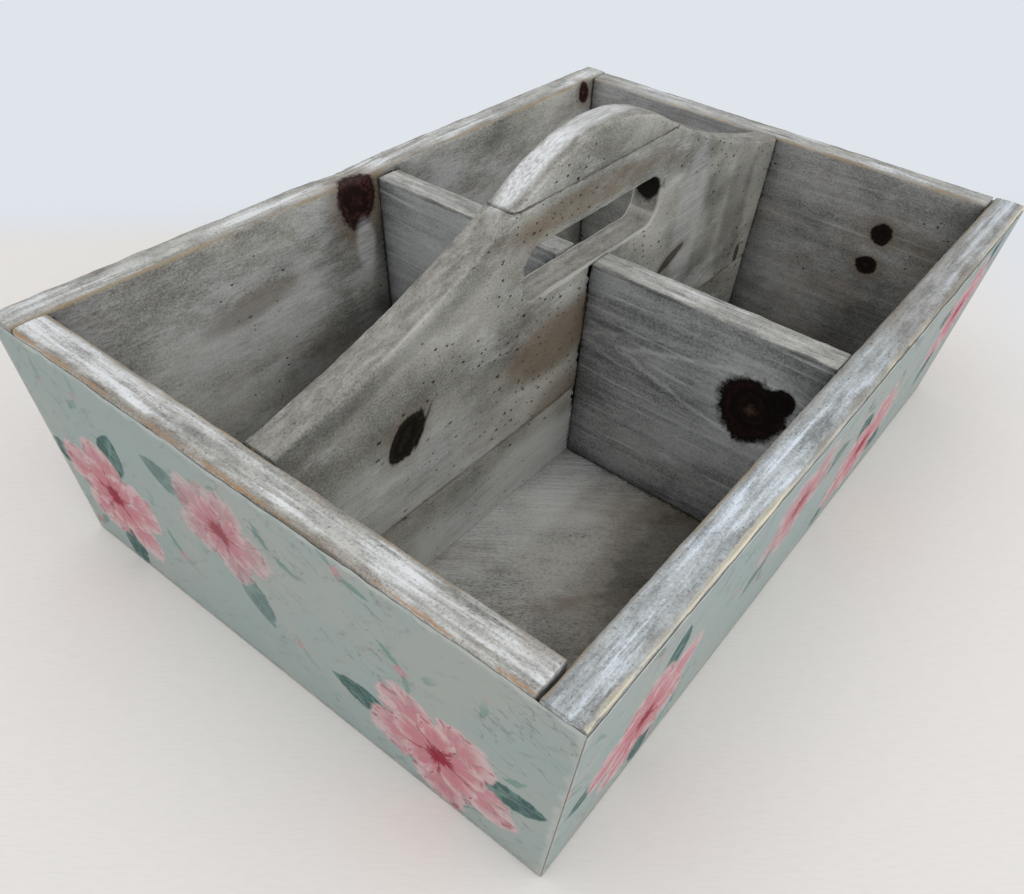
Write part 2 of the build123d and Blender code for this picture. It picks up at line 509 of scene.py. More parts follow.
@dataclass
class Knot:
    """A knot in a board, also used for stains, pale patches, painted shade and painted highlight: its place,
    radii and depth in millimetres, its tilt in degrees, and its colours.
    """

    place: tuple
    radii: tuple
    tilt: tuple = (0, 0, 0)
    eye: float = 0.0
    sink: float = 0.4
    dark: float = 1.0
    brown: float = 0.5
    core: float = 0.6
    halo: float = 0.3
    figure: float = 0.0
    haze: float = 0.0
    heart: str = "knot_brown"
    tinge: str = "umber"

    def __post_init__(self):
        self.place = Vector(self.place) * MM
        self.radii = Vector(self.radii) * MM
        self.tilt = Euler([radians(angle) for angle in self.tilt])
        self.sink *= MM

    def depth(self, p):
        """How far the knot is sunk below a point of the face."""
        off = self.tilt.to_matrix().inverted() @ (p - self.place)
        far = hypot(off.x / self.radii.x, off.y / self.radii.y, off.z / self.radii.z)
        return self.sink * max(0, 1 - far) ** 0.5


def stain_and_shade(place, radii, share, tinge="umber", tilt=(0, 0, 0)):
    """A soft stain with no knot in it; in the near-black tinge it is a patch of painted shade."""
    return Knot(place, radii, tilt, sink=0.0, dark=0.0, halo=share, tinge=tinge)


def pale_patch(place, radii, share):
    """A patch of white paint rubbed thin; on the handle's crest it is a painted highlight."""
    return Knot(place, radii, sink=0.0, dark=0.0, halo=0.0, haze=share)


class Dip:
    """A worn dip in a rim that runs along x, in millimetres."""

    def __init__(self, at, width, deep, reach, rim):
        self.at, self.width, self.deep, self.reach = (value * MM for value in (at, width, deep, reach))
        self.rim = rim

    def depth(self, p):
        """How far the dip lowers a point."""
        below = max(0, self.rim - p.z)
        return self.deep * exp(-(((p.x - self.at) / self.width) ** 2)) * max(0, 1 - below / self.reach)


def build_board(
    s, node, length, top, seat, gaps, rounds, finish, knots=(), dips=(), open_sides=False, line=None
):
    """One straight board, worn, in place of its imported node."""
    height = top - s.floor_top
    bm = block(length, s.board, height)
    for side, offset in zip((-1, 1), rounds):
        upper = [e for e in bm.edges if all(v.co.z > height / 2 for v in e.verts)]
        edge = [e for e in upper if all(v.co.y * side > s.board / 4 for v in e.verts)]
        bevel(bm, edge, offset, RIM_STEPS)
    bevel(bm, sharp_edges(bm), min(s.arris, *rounds), EASE_STEPS)
    for axis in (0, 2, 1):
        cut_grid(bm, axis, s.step)
    outer, inner, gap, seam = add_marks(bm)
    for v in bm.verts:
        drop = height - v.co.z
        inside = open_sides or v.co.y < s.arris
        v[outer] = hypot(s.board / 2 - v.co.y, drop)
        v[inner] = hypot(s.board / 2 + v.co.y, drop)
        v.co = seat(v.co)
        v[gap] = min(measure(v.co) for measure in gaps) if inside else FAR
        v[seam] = line(v.co) if line else FAR
    weather(s, bm, knots, dips)
    return piece_from(bm, node + "_board", node, finish)


def handle_blank(s):
    """The handle board above its lower strip, with its arch and its hand slot rounded over."""
    corner = s.slot_half - s.slot_corner
    bm = bmesh.new()

    def point(x, z, last=None):
        v = bm.verts.new((x, 0, z))
        if last:
            bm.edges.new((last, v))
        return v

    def arc(last, x, z, angle, steps):
        turned = bmesh.ops.spin(bm, geom=[last], cent=(x, 0, z), axis=(0, 1, 0), angle=angle, steps=steps)
        return next(item for item in turned["geom_last"] if isinstance(item, bmesh.types.BMVert))

    first = point(0, s.lower_seam)
    v = point(s.inner_x(s.lower_seam), s.lower_seam, first)
    v = point(s.inner_x(s.rim), s.rim, v)
    v = arc(v, s.toe_x, s.toe_z, s.turn - s.toe_angle, TOE_STEPS)
    v = arc(v, 0, s.crest_z, -s.turn, CREST_STEPS)
    v = point(0, s.lintel, v)
    v = point(corner, s.lintel, v)
    v = arc(v, corner, s.lintel - s.slot_corner, pi / 2, CORNER_STEPS)
    v = point(s.slot_half, s.sill + s.slot_corner, v)
    v = arc(v, corner, s.sill + s.slot_corner, pi / 2, CORNER_STEPS)
    v = point(0, s.sill, v)
    bm.edges.new((v, first))
    face = bmesh.ops.contextual_create(bm, geom=bm.edges[:])["faces"][0]
    extrude(bm, [face], (0, s.board, 0))
    bmesh.ops.translate(bm, vec=(0, -s.board / 2, 0), verts=bm.verts)
    halves = [f for f in bm.faces if all(abs(v.co.x) < s.seam / 4 for v in f.verts)]
    bmesh.ops.delete(bm, geom=halves, context="FACES_ONLY")
    bmesh.ops.mirror(bm, geom=whole(bm), axis="X", merge_dist=s.seam / 4)
    bmesh.ops.remove_doubles(bm, verts=bm.verts, dist=s.seam / 4)
    face_outwards(bm)

    def outline(edge):
        return abs(edge.verts[0].co.y - edge.verts[1].co.y) < s.arris

    def on_slot(edge):
        level = all(s.sill - s.seam < v.co.z < s.lintel + s.seam for v in edge.verts)
        return level and all(abs(v.co.x) < s.slot_half + s.seam for v in edge.verts)

    arch = [e for e in sharp_edges(bm) if outline(e) and not on_slot(e)]
    bevel(bm, [e for e in arch if all(v.co.z > s.rim - s.seam for v in e.verts)], s.arch_round, ARCH_STEPS)
    bevel(bm, [e for e in sharp_edges(bm) if outline(e) and on_slot(e)], s.slot_round, SLOT_STEPS)
    return bm


def build_handle_piece(s, node, start, end, finish, knots=()):
    """One strip of the handle board, cut from the blank between two heights."""
    bm = handle_blank(s)
    for at, side in ((start, -1), (end, 1)):
        bmesh.ops.bisect_plane(
            bm, geom=whole(bm), dist=SNAP, plane_co=(0, 0, at), plane_no=(0, 0, side), clear_outer=True
        )
        open_edges = [e for e in bm.edges if e.is_boundary]
        if open_edges:
            bmesh.ops.holes_fill(bm, edges=open_edges, sides=0)
    face_outwards(bm)
    bevel(bm, sharp_edges(bm), s.seam, EASE_STEPS)
    bm.normal_update()
    cut_grid(bm, 2, s.step, flat_face)
    cut_grid(bm, 1, s.step, edge_face)
    cut_grid(bm, 0, s.step)
    bmesh.ops.dissolve_degenerate(bm, dist=s.seam / 2, edges=bm.edges)
    outer, inner, gap, seam = add_marks(bm)
    for v in bm.verts:
        depth = s.board / 2 - abs(v.co.y)
        v[outer] = hypot(depth, s.arch(v.co.x) - v.co.z)
        v[inner] = hypot(depth, s.slot_distance(v.co.x, v.co.z))
        v.co.y += s.handle_middle
        v[gap] = min(s.tight_end_gap(v.co), s.divider_gap(v.co))
        v[seam] = min(abs(v.co.z - s.lower_seam), abs(v.co.z - s.upper_seam))
    weather(s, bm, knots)
    return piece_from(bm, node + "_board", node, finish)


def build_floor(s, finish):
    """The floor panel, a hair above its pins' heads."""
    bm = block(2 * s.floor_half_length, 2 * s.floor_half_width, s.floor_top - s.floor_lift)
    bmesh.ops.translate(bm, vec=(0, 0, s.floor_lift), verts=bm.verts)
    bevel(bm, sharp_edges(bm), s.seam, EASE_STEPS)
    for axis in (0, 1):
        cut_grid(bm, axis, s.step)
    outer, inner, gap, seam = add_marks(bm)
    for v in bm.verts:
        v[outer] = v[inner] = v[seam] = FAR
        top = v.co.z > s.floor_top / 2
        v[gap] = min(s.end_gap(v.co), s.side_gap(v.co), s.divider_gap(v.co)) if top else FAR
    weather(s, bm)
    return piece_from(bm, "floor_panel_board", "floor_panel", finish)


class Sheet:
    """A pasted sheet: its wall, and its top margin and fray in millimetres."""

    def __init__(self, node, face, long_wall, margin, fray, sprays):
        self.node, self.face, self.long_wall = node, face, long_wall
        self.margin, self.fray = margin * MM, fray * MM
        self.sprays = sprays


def build_sheet(s, sheet, finish):
    """One sheet with frayed, sanded edges on the outer face of its wall."""
    half = s.half_length if sheet.long_wall else s.outer_y(s.rim)
    drop = s.rim * s.slope - s.paper_inset
    seat = s.sheet_seat(sheet.face, sheet.long_wall)
    bm = bmesh.new()
    columns, rows = round(2 * half / s.paper_step), round(drop / s.paper_step)
    bmesh.ops.create_grid(bm, x_segments=columns, y_segments=rows, size=0.5)
    border = bm.verts.layers.float.new("border")
    where = {}
    for v in bm.verts:
        along, rise = v.co.x * 2, v.co.y + 0.5
        ragged = noise.noise(Vector((along * half * FRAY_GRAIN, sheet.face, half * 50)))
        ragged += 0.6 * noise.noise(Vector((along * half * FRAY_FINE, sheet.face, half * 90)))
        top = -sheet.margin - sheet.fray * max(0, 0.5 + ragged)
        up = -drop + rise * (top + drop)
        reach = half + up * s.lean / s.slope - s.paper_inset
        across = along * reach
        v[border] = min(top - up, up + drop, reach - abs(across))
        where[v] = (across, up)
    layer = bm.loops.layers.uv.new("sheet")
    for face in bm.faces:
        for loop in face.loops:
            loop[layer].uv = where[loop.vert]
    for v, (across, up) in where.items():
        v.co = seat(across, up, 0.0)
    extrude(bm, bm.faces[:], seat(0, 0, s.paper) - seat(0, 0, 0))
    face_outwards(bm)
    return piece_from(bm, sheet.node.replace("paper", "print"), sheet.node, finish)


# Node work


class Nodes:
    """Short ways to add and join the nodes of one tree."""

    def __init__(self, tree):
        self.tree = tree

    def feed(self, socket, value):
        """Join an output to a socket, or set the socket's own value."""
        if isinstance(value, NodeSocket):
            self.tree.links.new(value, socket)
        else:
            socket.default_value = value

    def add(self, kind, inputs=None, **settings):
        """A new node with its settings and inputs."""
        node = self.tree.nodes.new("ShaderNode" + kind)
        for key, value in settings.items():
            setattr(node, key, value)
        for key, value in (inputs or {}).items():
            self.feed(node.inputs[key], value)
        return node

    def use(self, group, **inputs):
        """Place a shared node group and return its outputs."""
        node = self.tree.nodes.new("ShaderNodeGroup")
        node.node_tree = bpy.data.node_groups[group]
        for key, value in inputs.items():
            self.feed(node.inputs[key.replace("_", " ").capitalize()], value)
        return node.outputs

    def math(self, operation, *values):
        """One sum on numbers."""
        return self.add("Math", dict(enumerate(values)), operation=operation).outputs[0]

    def times(self, a, b):
        """A product."""
        return self.math("MULTIPLY", a, b)

    def plus(self, a, b):
        """A sum."""
        return self.math("ADD", a, b)

    def swing(self, value, amount):
        """A share from 0 to 1 as a swing about zero."""
        return self.times(self.math("SUBTRACT", value, 0.5), amount)

    def less(self, value):
        """One minus a share."""
        return self.math("SUBTRACT", 1.0, value)

    def vector(self, operation, *values):
        """One sum on vectors."""
        return self.add("VectorMath", dict(enumerate(values)), operation=operation).outputs[0]

    def length(self, value):
        """A vector's length."""
        return self.add("VectorMath", {0: value}, operation="LENGTH").outputs["Value"]

    def dot(self, a, b):
        """How far a vector reaches along another."""
        return self.add("VectorMath", {0: a, 1: b}, operation="DOT_PRODUCT").outputs["Value"]

    def parts(self, value):
        """A vector's x, y and z."""
        return self.add("SeparateXYZ", {0: value}).outputs

    def joined(self, x, y, z=0.0):
        """A vector of three numbers."""
        return self.add("CombineXYZ", {0: x, 1: y, 2: z}).outputs[0]

    def spun(self, value, angle):
        """A vector turned about z."""
        return self.add("VectorRotate", {"Vector": value, "Angle": angle}, rotation_type="Z_AXIS").outputs[0]

    def ease(self, value, start, end):
        """Smooth step: 0 at start, 1 at end."""
        inputs = {"Value": value, "From Min": start, "From Max": end}
        return self.add("MapRange", inputs, interpolation_type="SMOOTHSTEP").outputs[0]

    def mix(self, share, a, b, blend="MIX"):
        """A blend of two colours."""
        return self.add("Mix", {0: share, 6: a, 7: b}, data_type="RGBA", blend_type=blend).outputs[2]

    def noise(self, place, stretch, detail=2.0, rough=0.5):
        """Noise whose grains are 1 / stretch metres, along all axes or along each."""
        scaled = self.vector("MULTIPLY", place, stretch if isinstance(stretch, tuple) else (stretch,) * 3)
        inputs = {"Vector": scaled, "Scale": 1.0, "Detail": detail, "Roughness": rough}
        return self.add("TexNoise", inputs).outputs[0]

    def bent(self, place, stretch, amount):
        """A place shifted by noise, so that what is drawn there has wavering edges."""
        scaled = self.vector("MULTIPLY", place, (stretch,) * 3)
        shift = self.add("TexNoise", {"Vector": scaled, "Scale": 1.0, "Detail": 3.0}).outputs[1]
        shift = self.vector("SUBTRACT", shift, (0.5,) * 3)
        return self.vector("ADD", place, self.vector("MULTIPLY", shift, (amount,) * 3))

    def attribute(self, name):
        """A value kept on the mesh."""
        return self.add("Attribute", attribute_name=name).outputs["Fac"]


class Group(Nodes):
    """A shader node group with named inputs and outputs."""

    KINDS = {"v": "NodeSocketVector", "f": "NodeSocketFloat", "c": "NodeSocketColor"}

    def __init__(self, name, inputs, outputs):
        super().__init__(bpy.data.node_groups.new(name, "ShaderNodeTree"))
        for side, sockets in (("INPUT", inputs), ("OUTPUT", outputs)):
            for socket, kind in sockets.items():
                self.tree.interface.new_socket(name=socket, in_out=side, socket_type=self.KINDS[kind])
        self.entry = self.tree.nodes.new("NodeGroupInput").outputs
        self.exit = self.tree.nodes.new("NodeGroupOutput").inputs

    def give(self, name, value):
        """Set one of the group's outputs."""
        self.feed(self.exit[name], value)


def grain_group():
    """Pine with its grain along x: fine fibre, brushed streaks and wavy growth lines."""
    g = Group("pine grain", {"Vector": "v"}, {"Fibre": "f", "Streak": "f", "Lines": "f"})
    place = g.entry["Vector"]
    g.give("Fibre", g.noise(place, (380, 2000, 2000), 3, 0.6))
    g.give("Streak", g.noise(place, (9, 230, 230), 4, 0.65))
    bend = g.noise(place, (6, 24, 24), 1)
    _, y, z = g.parts(place)
    across = g.plus(g.times(y, 0.8), z)
    wave = g.math("SINE", g.plus(g.times(across, 1350), g.times(bend, 26)))
    broken = g.ease(g.noise(place, (22, 300, 300), 4, 0.6), 0.46, 0.7)
    g.give("Lines", g.times(g.ease(wave, 0.6, 1), broken))
    return g


def dry_brush_group():
    """Broken strokes of white paint, dragged at an angle to the grain over the high places."""
    g = Group("dry brush", {"Vector": "v", "Cover": "f", "Turn": "f"}, {"Mask": "f"})
    place, cover = g.entry["Vector"], g.entry["Cover"]
    stroke = g.noise(g.spun(place, g.entry["Turn"]), (150, 1300, 1300), 4, 0.65)
    patch = g.noise(place, (26, 70, 70), 4, 0.6)
    level = g.plus(g.times(stroke, 0.3), g.times(patch, 0.7))
    start = g.math("SUBTRACT", 0.68, g.times(cover, 0.34))
    g.give("Mask", g.ease(level, start, g.plus(start, 0.2)))
    return g


def pinhole_group():
    """Scattered pinholes of uneven size on a face whose plane is x and z."""
    g = Group("pinholes", {"Vector": "v", "Amount": "f"}, {"Mask": "f"})
    place = g.entry["Vector"]
    x, _, z = g.parts(place)
    holes = []
    for across, up, largest in ((80, 150, 0.11), (150, 250, 0.14)):
        flat = g.joined(g.times(x, across), g.times(z, up))
        cells = g.add("TexVoronoi", {"Vector": flat, "Scale": 1.0}, voronoi_dimensions="2D")
        pick, size, _ = g.parts(cells.outputs["Color"])
        radius = g.plus(0.05, g.times(size, largest - 0.05))
        hole = g.ease(cells.outputs["Distance"], radius, g.times(radius, 0.6))
        crowd = g.ease(g.noise(place, 17, 1), 0.44, 0.62)
        kept = g.math("LESS_THAN", pick, g.times(crowd, g.entry["Amount"]))
        holes.append(g.times(hole, kept))
    g.give("Mask", g.math("MAXIMUM", *holes))
    return g


def knot_group():
    """One knot: its disc, its tone, the stain around it and the growth lines that part for it."""
    sockets = {"Vector": "v", "Place": "v", "Radii": "v", "Tilt": "v", "Grain": "v", "Eye": "f"}
    g = Group("knot", sockets, {"Disc": "f", "Tone": "f", "Heart": "f", "Halo": "f", "Figure": "f"})
    e = g.entry
    place = e["Vector"]
    off = g.vector("SUBTRACT", place, e["Place"])
    inputs = {"Vector": off, "Rotation": e["Tilt"]}
    turned = g.add("VectorRotate", inputs, rotation_type="EULER_XYZ", invert=True)
    local = g.vector("DIVIDE", turned.outputs[0], e["Radii"])
    wobble = g.noise(place, 130, 3, 0.6)
    crumb = g.noise(place, 560, 4, 0.7)
    x, y, z = g.parts(local)
    pointed = g.plus(g.math("ABSOLUTE", z), g.plus(g.times(x, x), g.times(y, y)))
    round_share = g.times(g.length(local), g.less(e["Eye"]))
    far = g.plus(g.plus(round_share, g.times(pointed, e["Eye"])), g.swing(wobble, 0.5))
    far = g.plus(far, g.swing(crumb, 0.3))
    g.give("Disc", g.ease(far, 1.08, 0.86))
    ring = g.math("SINE", g.plus(g.times(far, 15), g.times(wobble, 6)))
    fleck = g.ease(crumb, 0.36, 0.64)
    g.give("Tone", g.times(g.ease(ring, -0.4, 1.0), fleck))
    g.give("Heart", g.ease(g.plus(g.length(local), g.swing(crumb, 0.5)), 0.24, 0.04))
    g.give("Halo", g.ease(far, 1.9, 1.0))
    drawn = g.vector("ABSOLUTE", g.vector("MULTIPLY", local, e["Grain"]))
    drawn = g.plus(g.times(g.dot(drawn, (1, 1, 1)), 0.6), g.times(g.length(drawn), 0.4))
    drawn = g.plus(drawn, g.swing(wobble, 0.22))
    near = g.ease(g.math("ABSOLUTE", g.math("SUBTRACT", drawn, 1.0)), 0.1, 0.0)
    next_one = g.ease(g.math("ABSOLUTE", g.math("SUBTRACT", drawn, 1.32)), 0.07, 0.0)
    lines = g.math("MAXIMUM", near, g.times(next_one, 0.45))
    g.give("Figure", g.times(lines, g.ease(crumb, 0.2, 0.6)))
    return g


def wash_group(c):
    """Grey-washed pine: wash, white dry brush on top with a painted sheen on the rims, raw wood on edges, and
    dirt with painted shade in the corners.
    """
    sockets = {"Vector": "v", "Tint": "c", "Rim tint": "c", "Raw wood": "c", "Edge": "c", "Line": "c"}
    amounts = ("Up", "Outer", "Inner", "Gap", "Seam", "Cloud", "Fibre", "Streak", "White", "Lines", "Holes")
    amounts += ("Brown", "Rim white", "Even", "Raw", "Grime", "Reach", "Crack")
    sockets |= {amount: "f" for amount in amounts}
    g = Group("grey wash", sockets, {"Colour": "c", "Height": "f", "Rough": "f"})
    e = g.entry
    place, up = e["Vector"], e["Up"]
    wood = g.use("pine grain", vector=place)

    cloud = g.noise(place, (11, 14, 14), 2)
    blotch = g.noise(place, (34, 48, 48), 4, 0.62)
    tone = g.plus(g.swing(blotch, 0.9), g.swing(wood["Fibre"], e["Fibre"]))
    tone = g.plus(g.swing(cloud, e["Cloud"]), tone)
    grit = g.noise(place, 1150, 3, 0.75)
    tone = g.plus(tone, g.plus(g.swing(wood["Streak"], e["Streak"]), g.swing(grit, 0.9)))
    colour = g.mix(g.ease(tone, -0.38, 0.38), c.wash_dark, c.wash_mid)
    colour = g.mix(1.0, colour, e["Tint"], "MULTIPLY")
    stain = g.ease(g.noise(place, (20, 44, 44), 4, 0.6), 0.5, 0.72)
    colour = g.mix(g.times(stain, e["Brown"]), colour, c.umber)
    colour = g.mix(g.times(wood["Lines"], e["Lines"]), colour, c.wash_white)
    haze = g.use("dry brush", vector=place, cover=e["White"], turn=0.1)["Mask"]
    colour = g.mix(g.times(haze, 0.5), colour, c.wash_white)

    # Rims: a crown of white dry-brushed paint, whose strokes also paint the rims' sheen.
    share = g.math("DIVIDE", e["Outer"], g.plus(g.plus(e["Outer"], e["Inner"]), 0.1 * MM))
    sanded = g.noise(place, (90, 190, 190), 4, 0.7)
    share = g.plus(share, g.plus(g.swing(blotch, 0.7), g.swing(sanded, 0.4)))
    crown = g.times(g.ease(share, 0.06, 0.3), g.ease(share, 1.0, 0.66))
    crown = g.math("MAXIMUM", crown, e["Even"])
    drag = g.noise(place, (28, 330, 330), 4, 0.65)
    rim_tone = g.plus(g.plus(g.swing(drag, 0.9), g.swing(grit, 0.55)), g.swing(sanded, 1.0))
    rim = g.mix(g.ease(rim_tone, -0.45, 0.45), c.wash_dark, c.wash_mid)
    rim = g.mix(g.times(g.less(crown), 0.35), rim, c.umber)
    smear = g.plus(g.noise(place, (18, 420, 420), 4, 0.6), g.noise(place, (22, 80, 80), 4, 0.6))
    smear = g.plus(g.times(smear, 0.5), g.swing(grit, 0.12))
    start = g.math("SUBTRACT", 0.62, g.times(e["Rim white"], 0.2))
    strokes = g.times(g.ease(smear, start, g.plus(start, 0.16)), crown)
    rim = g.mix(g.times(strokes, 0.9), rim, c.wash_white)
    rim = g.mix(1.0, rim, e["Rim tint"], "MULTIPLY")
    colour = g.mix(g.times(up, 0.92), colour, rim)

    pepper = g.ease(g.noise(place, (900, 1500, 1500), 3, 0.65), 0.57, 0.7)
    colour = g.mix(g.times(pepper, 0.5), colour, c.soot)
    # Darker towards neighbouring boards on faces that do not face up: dirt, and painted shade in the corners.
    away = g.math("DIVIDE", g.math("MAXIMUM", e["Gap"], 0.0), e["Reach"])
    near = g.math("EXPONENT", g.times(away, -1.0))
    level = g.less(up)
    colour = g.mix(g.times(g.times(near, level), e["Grime"]), colour, c.soot)
    ragged = g.noise(place, 420, 3, 0.6)
    crack = g.ease(g.plus(e["Gap"], g.swing(ragged, 6 * MM)), 0.8 * MM, 0.3 * MM)
    colour = g.mix(g.times(g.times(crack, level), e["Crack"]), colour, c.soot)
    seam = g.ease(g.plus(e["Seam"], g.swing(ragged, 1.2 * MM)), 0.6 * MM, 0.2 * MM)
    seam = g.times(seam, g.less(g.times(up, 0.85)))
    colour = g.mix(g.times(seam, g.ease(sanded, 0.25, 0.65)), colour, e["Line"])
    holes = g.times(g.use("pinholes", vector=place, amount=e["Holes"])["Mask"], level)
    colour = g.mix(g.times(holes, 0.9), colour, c.soot)

    patchy = g.ease(g.noise(place, 22, 2), 0.38, 0.55)
    inner = g.ease(g.plus(e["Inner"], g.swing(sanded, 2.4 * MM)), 1.6 * MM, 0.9 * MM)
    colour = g.mix(g.times(inner, g.plus(g.times(patchy, 0.5), 0.1)), colour, e["Edge"])
    width = g.math("MAXIMUM", e["Raw"], 0.01 * MM)
    outer = g.plus(e["Outer"], g.times(g.swing(sanded, 3.0), width))
    outer = g.ease(outer, g.times(width, 1.15), g.times(width, 0.8))
    outer = g.times(outer, g.less(g.times(up, 0.6)))
    colour = g.mix(g.times(outer, g.plus(g.times(patchy, 0.75), 0.15)), colour, e["Raw wood"])
    g.give("Colour", colour)

    relief = g.plus(g.times(strokes, g.times(up, 0.4)), g.times(pepper, -0.5))
    relief = g.plus(g.times(wood["Fibre"], 0.8), relief)
    g.give("Height", g.math("SUBTRACT", relief, g.times(holes, 2.0)))
    g.give("Rough", g.math("SUBTRACT", 0.68, g.times(g.times(strokes, up), 0.2)))
    return g


def blossom_group():
    """An open blossom of five round petals."""
    g = Group(
        "open blossom",
        {"Vector": "v", "Middle": "v", "Size": "f", "Turn": "f"},
        {"Petals": "f", "Depth": "f", "Fold": "f", "Heart": "f"},
    )
    e = g.entry
    off = g.vector("SUBTRACT", e["Vector"], e["Middle"])
    ripple = g.noise(e["Vector"], 110, 3, 0.6)
    x, y, _ = g.parts(off)
    angle = g.math("SUBTRACT", g.math("ARCTAN2", y, x), e["Turn"])
    angle = g.plus(angle, g.swing(ripple, 0.5))
    lobe = g.math("ABSOLUTE", g.math("COSINE", g.times(angle, 2.5)))
    reach = g.plus(0.6, g.times(g.math("POWER", lobe, 0.55), 0.4))
    far = g.plus(g.math("DIVIDE", g.length(off), e["Size"]), g.swing(ripple, 0.35))
    share = g.math("DIVIDE", far, reach)
    g.give("Petals", g.ease(share, 1.02, 0.92))
    streak = g.noise(g.joined(g.times(angle, 4), g.times(far, 1.2), e["Size"]), (1, 1, 1), 3, 0.6)
    g.give("Depth", g.ease(g.plus(g.less(share), g.times(streak, 1.3)), 0.6, 1.1))
    fold = g.times(g.ease(lobe, 0.34, 0.06), g.ease(streak, 0.38, 0.52))
    lip = g.ease(g.math("ABSOLUTE", g.math("SUBTRACT", share, 0.9)), 0.05, 0.01)
    lip = g.times(lip, g.ease(streak, 0.5, 0.58))
    g.give("Fold", g.math("MAXIMUM", fold, g.times(lip, 0.7)))
    g.give("Heart", g.ease(g.plus(far, g.times(streak, 0.6)), 0.62, 0.5))
    return g


def leaf_group():
    """One leaf with its veins, growing from its base."""
    g = Group(
        "leaf",
        {"Vector": "v", "Base": "v", "Turn": "f", "Length": "f", "Width": "f"},
        {"Blade": "f", "Vein": "f"},
    )
    e = g.entry
    off = g.vector("SUBTRACT", e["Vector"], e["Base"])
    x, y, _ = g.parts(g.spun(off, g.times(e["Turn"], -1.0)))
    ripple = g.noise(e["Vector"], 150, 3, 0.6)
    along = g.math("DIVIDE", x, e["Length"])
    aside = g.math("ABSOLUTE", g.plus(g.math("DIVIDE", y, e["Width"]), g.swing(ripple, 0.5)))
    inside = g.math("MINIMUM", g.math("MAXIMUM", along, 0.0), 1.0)
    half = g.math("POWER", g.math("MAXIMUM", g.math("SINE", g.times(inside, pi)), 0.0), 0.8)
    g.give("Blade", g.ease(g.math("SUBTRACT", half, aside), 0.0, 0.16))
    comb = g.math("SINE", g.times(g.math("SUBTRACT", along, g.times(aside, 0.16)), 46))
    veins = g.math("MAXIMUM", g.ease(aside, 0.12, 0.04), g.times(g.ease(comb, 0.6, 1.0), 0.4))
    g.give("Vein", g.plus(g.times(veins, 0.4), g.times(g.ease(ripple, 0.45, 0.62), 0.6)))
    return g


def scatter_group():
    """Small buds and leaf pairs strewn over the ground of the print."""
    g = Group("strewn buds", {"Vector": "v"}, {"Bud": "f", "Leaf": "f"})
    place = g.vector("MULTIPLY", g.entry["Vector"], (34, 34, 0))
    cells = g.add("TexVoronoi", {"Vector": place, "Scale": 1.0, "Randomness": 0.75}, voronoi_dimensions="2D")
    spin, pick, _ = g.parts(cells.outputs["Color"])
    local = g.spun(g.vector("SUBTRACT", place, cells.outputs["Position"]), g.times(spin, 2 * pi))
    ripple = g.noise(g.entry["Vector"], 260, 2)
    x, y, _ = g.parts(local)
    bud = g.plus(g.length(local), g.swing(ripple, 0.12))
    g.give("Bud", g.times(g.ease(bud, 0.1, 0.06), g.math("GREATER_THAN", pick, 0.3)))
    bow = g.plus(y, g.times(g.times(x, x), 0.9))
    half = g.times(g.math("SINE", g.math("MINIMUM", g.times(g.math("ABSOLUTE", x), 7.5), pi)), 0.07)
    blade = g.math("SUBTRACT", half, g.math("ABSOLUTE", g.plus(bow, g.swing(ripple, 0.08))))
    g.give("Leaf", g.ease(blade, 0.0, 0.02))
    return g


# Materials


def new_material(name):
    """A new material, its nodes and its shader."""
    made = bpy.data.materials.new(name)
    made.use_nodes = True
    shader = made.node_tree.nodes["Principled BSDF"]
    shader.inputs["Specular IOR Level"].default_value = SHEEN
    return made, Nodes(made.node_tree), shader


